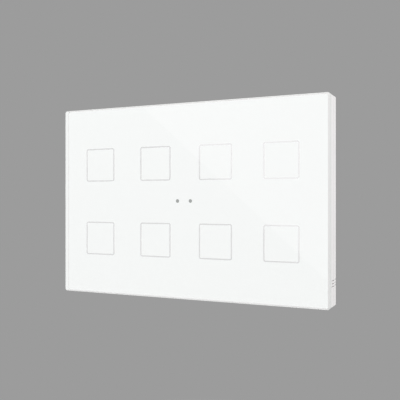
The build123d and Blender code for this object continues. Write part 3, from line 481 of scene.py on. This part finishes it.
def worked_metal(name, tone, roughness, line_mm, stretch, depth_mm, patch_mm):
    # A metal with lines from how it was worked and patches where its plating or skin differs.
    # The lines are about 0.03 mm apart in the real ones and are drawn at line_mm to show.
    material, tree = new_tree(name)
    lines = pattern(tree, line_mm, 3.0, stretch)
    patches = pattern(tree, patch_mm, 3.0)
    lined = {MIX_BY: lines, MIX_FIRST: shade(tone, 0.93), MIX_SECOND: shade(tone, 1.05)}
    worked = add(tree, "ShaderNodeMix", lined, MIX_RESULT, data_type="RGBA")
    dulled = {**NOISE_ENDS, "Value": patches, "To Min": 0.0, "To Max": 0.12}
    tint = (add(tree, "ShaderNodeMapRange", dulled), worked, shade(tone, 0.6))
    rough = (patches, roughness - 0.05, roughness + 0.09)
    metal = worked_skin(tree, tint, rough, (lines, depth_mm), {"Metallic": 1.0})
    add(tree, "ShaderNodeOutputMaterial", {"Surface": metal})
    return material


def zinc_coated_sheet(looks):
    # Cold-rolled sheet, zinc plated: cool grey, faint rolling lines, and crystal patches 3 mm wide
    # that differ a little in tone and gloss.
    material, tree = new_tree("zinc_coated_sheet")
    place = add(tree, "ShaderNodeTexCoord", output="Object")
    spots = {"Vector": place, "Scale": per_mm(3.0)}
    crystals = add(tree, "ShaderNodeTexVoronoi", spots, "Color")
    grey = add(tree, "ShaderNodeSeparateColor", {"Color": crystals}, "Red")
    # Rolling lines are about 0.05 mm apart and are drawn at 0.3 mm to show.
    rolling = pattern(tree, 0.3, 3.0, (0.03, 1.0, 1.0))
    zinc = tuple(looks.zinc)
    greys = {MIX_BY: grey, MIX_FIRST: shade(zinc, 0.95), MIX_SECOND: shade(zinc, 1.04)}
    patch = add(tree, "ShaderNodeMix", greys, MIX_RESULT, data_type="RGBA")
    lined = {**NOISE_ENDS, "Value": rolling, "To Min": 0.0, "To Max": 0.25}
    tint = (add(tree, "ShaderNodeMapRange", lined), patch, shade(zinc, 0.7))
    metallic = {"Metallic": 1.0}
    ends = {"From Min": 0.0, "From Max": 1.0}
    sheet = worked_skin(tree, tint, (grey, 0.34, 0.42), (rolling, 0.004), metallic, ends)
    add(tree, "ShaderNodeOutputMaterial", {"Surface": sheet})
    return material


# Points nearer than this are one point, and edges sharper than this angle are rounded.
SAME_POINT = 0.001 * MM
SHARP = math.radians(40)
ROUNDING_STEPS = 2


def numbered(name, count):
    """The names of like pieces, numbered from 1."""
    return [f"{name}_{i}" for i in range(1, count + 1)]


def dress(names, material, edge=0.0):
    """Gives CAD pieces a material and rounds their sharp edges, so that these catch the light."""
    for name in names:
        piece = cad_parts[name]
        piece.data.materials.clear()
        piece.data.materials.append(material)
        if edge:
            weld = piece.modifiers.new("weld", "WELD")
            weld.merge_threshold = SAME_POINT
            bevel = piece.modifiers.new("edge", "BEVEL")
            bevel.width = edge
            bevel.segments = ROUNDING_STEPS
            bevel.limit_method = "ANGLE"
            bevel.angle_limit = SHARP
            bevel.harden_normals = True


# ---------------------------------------------------------------- pieces


class SWITCH_OT_glass_front(bpy.types.Operator):
    """Finish the glass front with a polished face and ground sides"""

    bl_idname = "touch_switch.glass_front"
    bl_label = "Glass front"

    def execute(self, context):
        dress(["glass_front"], polished_float_glass(context.scene.front_looks))
        return {"FINISHED"}


class SWITCH_OT_pattern(bpy.types.Operator):
    """Ink the eight touch outlines and the two sensor dots"""

    bl_idname = "touch_switch.pattern"
    bl_label = "Outlines and dots"

    def execute(self, context):
        looks = context.scene.front_looks
        silver = fired_ink("silver_fired_ink", tuple(looks.outline), looks.outline_metal)
        dress(["touch_outlines"], silver)
        grey = fired_ink("grey_infrared_ink", tuple(looks.dot), metal_share=0.0)
        dress(["sensor_windows"], grey)
        # The glass spreads light so far sideways that the thin ink leaves no shadow on the film.
        for name in ("touch_outlines", "sensor_windows"):
            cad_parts[name].visible_shadow = False
            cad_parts[name].visible_diffuse = False
        return {"FINISHED"}


class SWITCH_OT_film(bpy.types.Operator):
    """Finish the white film behind the glass and the tape that holds it"""

    bl_idname = "touch_switch.film"
    bl_label = "Film and tape"

    def execute(self, context):
        dress(["print_film"], printed_white_film(context.scene.front_looks))
        dress(["tape_ring"], acrylic_foam_tape(context.scene.housing_looks))
        return {"FINISHED"}


class SWITCH_OT_housing(bpy.types.Operator):
    """Finish the side frame and the rear cover in white moulded plastic"""

    bl_idname = "touch_switch.housing"
    bl_label = "Housing"

    def execute(self, context):
        looks = context.scene.housing_looks
        # ABS from a spark-eroded tool: satin white with 0.1 mm pits, drawn coarser to show.
        white = moulded_plastic(
            "white_moulded_abs",
            tuple(looks.white),
            roughness=0.5,
            grain_mm=looks.grain / MM,
            depth_mm=0.012,
        )
        dress(["side_frame", "rear_cover"], white, looks.edge)
        return {"FINISHED"}


class SWITCH_OT_light_parts(bpy.types.Operator):
    """Finish the light mask, the eight diffusers and the light pipe"""

    bl_idname = "touch_switch.light_parts"
    bl_label = "Light parts"

    def execute(self, context):
        looks = context.scene.housing_looks
        # Polycarbonate filled with white pigment, which keeps each lamp's light in its own cell.
        mask = moulded_plastic(
            "white_filled_polycarbonate",
            tuple(looks.mask),
            roughness=0.55,
            grain_mm=0.25,
            depth_mm=0.01,
            index=1.58,
        )
        dress(["light_mask"], mask, looks.edge)
        dress(numbered("diffuser", 8), milky_acrylic(looks), looks.edge)
        dress(["light_pipe"], clear_acrylic(), looks.edge)
        return {"FINISHED"}


class SWITCH_OT_board(bpy.types.Operator):
    """Finish the circuit board and its copper touch pads"""

    bl_idname = "touch_switch.board"
    bl_label = "Circuit board"

    def execute(self, context):
        dress(["main_board"], solder_resist_board())
        dress(["touch_pads"], etched_copper())
        return {"FINISHED"}


class SWITCH_OT_board_parts(bpy.types.Operator):
    """Finish the chips, lamps and other small parts soldered to the board"""

    bl_idname = "touch_switch.board_parts"
    bl_label = "Board parts"

    def execute(self, context):
        edge = context.scene.connector_looks.edge
        # Black moulding compound of the chips.
        compound = moulded_epoxy("black_chip_epoxy", linear("26272A"), roughness=0.5)
        dress(["controller_chip", "bus_chip", "touch_chip"], compound, edge)
        dress(["status_leds", "programming_led"], lamp_package(), edge)
        # Drawn nickel-silver can: bright, with fine draw lines up its sides.
        can = worked_metal(
            "drawn_nickel_silver",
            linear("D8D8D4"),
            roughness=0.24,
            line_mm=0.1,
            stretch=(1.0, 0.08, 1.0),
            depth_mm=0.002,
            patch_mm=4.0,
        )
        dress(["crystal"], can, edge)
        # Pressed ferrite powder: dull dark grey with a sintered grain.
        ferrite = moulded_epoxy("pressed_ferrite", linear("4B4B4E"), roughness=0.62)
        dress(["inductor"], ferrite, edge)
        # Yellow resin case of the tantalum capacitors.
        resin = moulded_epoxy("yellow_resin_case", linear("D9A93C"), roughness=0.42)
        dress(["buffer_capacitors"], resin, edge)
        dress(["chip_resistors"], glazed_ceramic())
        # Black liquid-crystal polymer of the buzzer case.
        buzzer = moulded_plastic(
            "black_crystal_polymer",
            linear("2B2C2E"),
            roughness=0.45,
            grain_mm=0.18,
            depth_mm=0.01,
        )
        dress(["buzzer"], buzzer, edge)
        return {"FINISHED"}


class SWITCH_OT_sensors(bpy.types.Operator):
    """Finish the proximity pair and the temperature probe"""

    bl_idname = "touch_switch.sensors"
    bl_label = "Sensors"

    def execute(self, context):
        edge = context.scene.connector_looks.edge
        # Dark violet epoxy that only infrared light passes.
        window = moulded_epoxy("infrared_filter_epoxy", linear("30283A"), roughness=0.2)
        dress(["proximity_emitter", "proximity_receiver"], window, edge)
        dress(["temperature_probe"], dipped_epoxy_bead())
        return {"FINISHED"}


class SWITCH_OT_programming_button(bpy.types.Operator):
    """Finish the programming key with the small switch under it"""

    bl_idname = "touch_switch.programming_button"
    bl_label = "Programming button"

    def execute(self, context):
        looks = context.scene.housing_looks
        # Grey acetal key, lightly glossy as it leaves its mould.
        grey = moulded_plastic(
            "grey_acetal",
            tuple(looks.key),
            roughness=0.38,
            grain_mm=0.25,
            depth_mm=0.006,
        )
        dress(["programming_key"], grey, looks.edge)
        # Heat-proof nylon of the small switch.
        black = moulded_plastic(
            "black_switch_nylon",
            linear("3A3B3D"),
            roughness=0.5,
            grain_mm=0.15,
            depth_mm=0.01,
        )
        dress(["switch_body", "switch_stem"], black, context.scene.connector_looks.edge)
        return {"FINISHED"}


class SWITCH_OT_bus_connector(bpy.types.Operator):
    """Finish the bus header, its pins and the red and grey plug halves"""

    bl_idname = "touch_switch.bus_connector"
    bl_label = "Bus connector"

    def execute(self, context):
        looks = context.scene.connector_looks
        rounding = 2 * looks.edge
        # Glass-filled nylon: the fibres leave a rough, slightly grey black.
        header = moulded_plastic(
            "glass_filled_nylon",
            linear("303134"),
            roughness=0.58,
            grain_mm=0.2,
            depth_mm=0.016,
        )
        dress(["bus_header"], header, rounding)
        # Unfilled nylon, which takes a gloss from a small polished mould.
        for half, tone in (("red", looks.bus_red), ("grey", looks.bus_grey)):
            nylon = moulded_plastic(
                f"{half}_moulded_nylon",
                tuple(tone),
                roughness=0.36,
                grain_mm=0.3,
                depth_mm=0.008,
            )
            dress([f"bus_plug_{half}"], nylon, rounding)
        # Tinned brass pins: pale and satin, with faint dipping runs.
        pins = worked_metal(
            "tinned_brass_pin",
            linear("D6D5D0"),
            roughness=0.26,
            line_mm=0.2,
            stretch=(1.0, 0.2, 1.0),
            depth_mm=0.003,
            patch_mm=1.0,
        )
        dress(["bus_pins", "input_pins"], pins)
        # Rolled spring bronze: brown-gold with fine rolling lines.
        bronze = worked_metal(
            "rolled_spring_bronze",
            linear("C99A62"),
            roughness=0.3,
            line_mm=0.12,
            stretch=(1.0, 1.0, 0.06),
            depth_mm=0.003,
            patch_mm=1.5,
        )
        dress(["bus_contacts", "plug_contacts"], bronze)
        return {"FINISHED"}


class SWITCH_OT_input_connector(bpy.types.Operator):
    """Finish the green input header and its plug"""

    bl_idname = "touch_switch.input_connector"
    bl_label = "Input connector"

    def execute(self, context):
        looks = context.scene.connector_looks
        # Green nylon of pluggable terminals: even colour, satin.
        green = moulded_plastic(
            "green_moulded_nylon",
            tuple(looks.green),
            roughness=0.42,
            grain_mm=0.3,
            depth_mm=0.01,
        )
        dress(["input_header", "input_plug"], green, 2 * looks.edge)
        return {"FINISHED"}


class SWITCH_OT_wire_clamps(bpy.types.Operator):
    """Finish the three clamp screws and the wire clamps that they lift"""

    bl_idname = "touch_switch.wire_clamps"
    bl_label = "Wire clamps"

    def execute(self, context):
        looks = context.scene.connector_looks
        # Turned steel, zinc plated: cutting lines run round the shank.
        screw = worked_metal(
            "turned_zinc_plated_steel",
            tuple(looks.zinc),
            roughness=0.24,
            line_mm=0.15,
            stretch=(1.0, 1.0, 0.3),
            depth_mm=0.004,
            patch_mm=1.2,
        )
        # Folded steel strip, zinc plated: fine lines along the strip.
        clamp = worked_metal(
            "folded_zinc_plated_strip",
            tuple(looks.zinc),
            roughness=0.3,
            line_mm=0.15,
            stretch=(0.08, 1.0, 1.0),
            depth_mm=0.003,
            patch_mm=1.5,
        )
        dress(numbered("clamp_screw", 3), screw, looks.edge)
        dress(numbered("wire_clamp", 3), clamp, looks.edge)
        return {"FINISHED"}


class SWITCH_OT_fixings(bpy.types.Operator):
    """Finish the wall plate, the magnets and the cover screws"""

    bl_idname = "touch_switch.fixings"
    bl_label = "Fixings"

    def execute(self, context):
        looks = context.scene.connector_looks
        dress(["wall_plate"], zinc_coated_sheet(looks), 2 * looks.edge)
        # Nickel over sintered magnet: bright and smooth, a little uneven in the plating.
        nickel = worked_metal(
            "nickel_plated_magnet",
            linear("DAD6CF"),
            roughness=0.16,
            line_mm=0.6,
            stretch=(1.0, 1.0, 1.0),
            depth_mm=0.004,
            patch_mm=2.0,
        )
        dress(numbered("magnet", 4), nickel, looks.edge)
        # Rolled steel screws, zinc plated.
        rolled = worked_metal(
            "rolled_zinc_plated_screw",
            tuple(looks.zinc),
            roughness=0.26,
            line_mm=0.2,
            stretch=(1.0, 0.3, 1.0),
            depth_mm=0.004,
            patch_mm=1.2,
        )
        dress(["cover_screws"], rolled, looks.edge)
        return {"FINISHED"}


# ---------------------------------------------------------------- stage

# The floor is a square that reaches this far from the switch's middle, in metres.
FLOOR_REACH = 0.2

# The white card stands this far in front of the switch. It is 0.3 m high and wide from its middle,
# and its slanting lower edge is what the glass mirrors as its diagonal.
CARD_DISTANCE = 0.6
CARD_REACH = 0.3
CARD_EDGE_X, CARD_EDGE_Z, CARD_EDGE_SLOPE = -0.1942, -0.001, -0.884

# Each lamp's place and side length in metres, and the way the face looks that it lights.
LAMPS = {
    "key": ((-2.4, -2.9, 2.1), 1.6, (0, -1, 0)),
    "side": ((0.4, 0.05, 0.18), 0.2, (1, 0, 0)),
    "rear": ((-0.5, 1.4, 0.4), 0.9, (0, 1, 0)),
}

# The camera stands level, a little right of the switch, and sees its front and right side.
CAMERA_PLACE = (0.10933, -0.2356, 0.0004)
CAMERA_TURN = math.radians(24.52)
SENSOR_MM, LENS_MM = 36.0, 54.509
NEAREST_SEEN = 0.01


def sheet_mesh(name, corners):
    """A flat mesh with these corners, in metres."""
    mesh = bpy.data.meshes.new(name)
    mesh.from_pydata(corners, [], [tuple(range(len(corners)))])
    mesh.update()
    made = bpy.data.objects.new(name, mesh)
    bpy.context.scene.collection.objects.link(made)
    return made


def matt_floor_paint(looks):
    # Pale matt paint that fades out at the floor's edge, so that it meets the backdrop unseen.
    material, tree = new_tree("matt_studio_floor")
    place = add(tree, "ShaderNodeTexCoord", output="Object")
    away = add(tree, "ShaderNodeVectorMath", {0: place}, "Value", operation="LENGTH")
    fading = {
        "Value": away,
        "From Min": 0.3 * FLOOR_REACH,
        "From Max": FLOOR_REACH,
        "To Min": 1.0,
        "To Max": 0.0,
    }
    fade = add(tree, "ShaderNodeMapRange", fading)
    below = add(tree, "ShaderNodeNewGeometry", output="Backfacing")
    above = add(tree, "ShaderNodeMath", {0: 1.0, 1: below}, operation="SUBTRACT")
    kept = add(tree, "ShaderNodeMath", {0: fade, 1: above}, operation="MULTIPLY")
    grain = pattern(tree, 6.0, 3.0)
    pale = tuple(looks.floor)
    pales = {MIX_BY: grain, MIX_FIRST: shade(pale, 0.99), MIX_SECOND: pale}
    tint = add(tree, "ShaderNodeMix", pales, MIX_RESULT, data_type="RGBA")
    paint = add(tree, "ShaderNodeBsdfDiffuse", {"Color": tint})
    clear = add(tree, "ShaderNodeBsdfTransparent")
    surface = add(tree, "ShaderNodeMixShader", {0: kept, 1: clear, 2: paint})
    add(tree, "ShaderNodeOutputMaterial", {"Surface": surface})
    return material


def lit_white_card(looks):
    # White card lit from its own lamp: an even glow.
    material, tree = new_tree("lit_white_card")
    glow = add(tree, "ShaderNodeEmission", {"Color": linear("FFFBFD"), "Strength": looks.card})
    add(tree, "ShaderNodeOutputMaterial", {"Surface": glow})
    return material


def studio_world(looks):
    """Even light from all round, with a flat backdrop where the camera or a mirror looks."""
    world = bpy.data.worlds.new("studio")
    world.use_nodes = True
    tree = world.node_tree
    tree.nodes.clear()
    glossy = add(tree, "ShaderNodeLightPath", output="Is Glossy Ray")
    through = add(tree, "ShaderNodeLightPath", output="Is Transmission Ray")
    mirrors = add(tree, "ShaderNodeMath", {0: glossy, 1: through}, operation="MAXIMUM")
    camera = add(tree, "ShaderNodeLightPath", output="Is Camera Ray")
    seen = add(tree, "ShaderNodeMath", {0: camera, 1: mirrors}, operation="MAXIMUM")
    fill = add(tree, "ShaderNodeBackground", {"Color": WHITE, "Strength": looks.fill})
    flat = {"Color": tuple(looks.backdrop), "Strength": 1.0}
    backdrop = add(tree, "ShaderNodeBackground", flat)
    sky = add(tree, "ShaderNodeMixShader", {0: seen, 1: fill, 2: backdrop})
    add(tree, "ShaderNodeOutputWorld", {"Surface": sky})
    return world


def lamp(name, place, size, on_face, normal):
    """An area lamp that lights a white face at the origin, facing normal, to a share of white."""
    data = bpy.data.lights.new(name, "AREA")
    data.shape = "SQUARE"
    data.size = size
    spot = Vector(place)
    slant = spot.normalized().dot(Vector(normal))
    data.energy = on_face * math.pi**2 * spot.length_squared / slant
    made = bpy.data.objects.new(name, data)
    made.location = spot
    made.rotation_euler = spot.to_track_quat("Z", "Y").to_euler()
    made.visible_camera = False
    bpy.context.scene.collection.objects.link(made)


class SWITCH_OT_stage(bpy.types.Operator):
    """Set up the backdrop, floor, lamps, white card and camera"""

    bl_idname = "touch_switch.stage"
    bl_label = "Stage"

    def execute(self, context):
        scene = context.scene
        looks = scene.studio_looks
        scene.world = studio_world(looks)

        square = ((-1, -1), (1, -1), (1, 1), (-1, 1))
        floor = sheet_mesh("floor", [(FLOOR_REACH * x, FLOOR_REACH * y, 0.0) for x, y in square])
        floor.location.z = -looks.floor_drop
        floor.data.materials.append(matt_floor_paint(looks))

        bottom, top = -CARD_REACH, CARD_REACH
        edge_low = CARD_EDGE_X + (bottom - CARD_EDGE_Z) / CARD_EDGE_SLOPE
        edge_high = CARD_EDGE_X + (top - CARD_EDGE_Z) / CARD_EDGE_SLOPE
        outline = [(edge_low, bottom), (CARD_REACH, bottom), (CARD_REACH, top), (edge_high, top)]
        card = sheet_mesh("white_card", [(x, -CARD_DISTANCE, z) for x, z in outline])
        card.data.materials.append(lit_white_card(looks))
        card.visible_camera = False
        card.visible_diffuse = False
        card.visible_transmission = False
        card.visible_shadow = False

        for name, (place, size, normal) in LAMPS.items():
            lamp(f"{name}_lamp", place, size, getattr(looks, name), normal)

        data = bpy.data.cameras.new("photo_camera")
        data.sensor_width = SENSOR_MM
        data.lens = LENS_MM
        data.clip_start = NEAREST_SEEN
        camera = bpy.data.objects.new("photo_camera", data)
        camera.location = CAMERA_PLACE
        camera.rotation_euler = (math.radians(90), 0.0, CAMERA_TURN)
        scene.collection.objects.link(camera)
        scene.camera = camera
        scene.view_settings.view_transform = "Standard"
        return {"FINISHED"}


# ---------------------------------------------------------------- panel and registration

LOOKS = (
    ("front_looks", FrontLooks),
    ("housing_looks", HousingLooks),
    ("connector_looks", ConnectorLooks),
    ("studio_looks", StudioLooks),
)
STEPS = (
    SWITCH_OT_glass_front,
    SWITCH_OT_pattern,
    SWITCH_OT_film,
    SWITCH_OT_housing,
    SWITCH_OT_light_parts,
    SWITCH_OT_board,
    SWITCH_OT_board_parts,
    SWITCH_OT_sensors,
    SWITCH_OT_programming_button,
    SWITCH_OT_bus_connector,
    SWITCH_OT_input_connector,
    SWITCH_OT_wire_clamps,
    SWITCH_OT_fixings,
    SWITCH_OT_stage,
)


class SWITCH_PT_looks(bpy.types.Panel):
    """Colours and sizes of the switch's looks, and the steps that apply them"""

    bl_idname = "SWITCH_PT_looks"
    bl_label = "Touch light switch"
    bl_space_type = "VIEW_3D"
    bl_region_type = "UI"
    bl_category = "Touch switch"

    def draw(self, context):
        for name, group in LOOKS:
            box = self.layout.box()
            box.label(text=group.__doc__)
            for setting in group.__annotations__:
                box.prop(getattr(context.scene, name), setting)
        for step in STEPS:
            self.layout.operator(step.bl_idname)


def register():
    for name, group in LOOKS:
        bpy.utils.register_class(group)
        setattr(bpy.types.Scene, name, bpy.props.PointerProperty(type=group))
    for step in STEPS:
        bpy.utils.register_class(step)
    bpy.utils.register_class(SWITCH_PT_looks)


def unregister():
    bpy.utils.unregister_class(SWITCH_PT_looks)
    for step in reversed(STEPS):
        bpy.utils.unregister_class(step)
    for name, group in reversed(LOOKS):
        delattr(bpy.types.Scene, name)
        bpy.utils.unregister_class(group)


def main():
    """Registers the steps and runs them in order."""
    register()
    for step in STEPS:
        area, name = step.bl_idname.split(".")
        getattr(getattr(bpy.ops, area), name)()


if __name__ == "__main__":
    main()
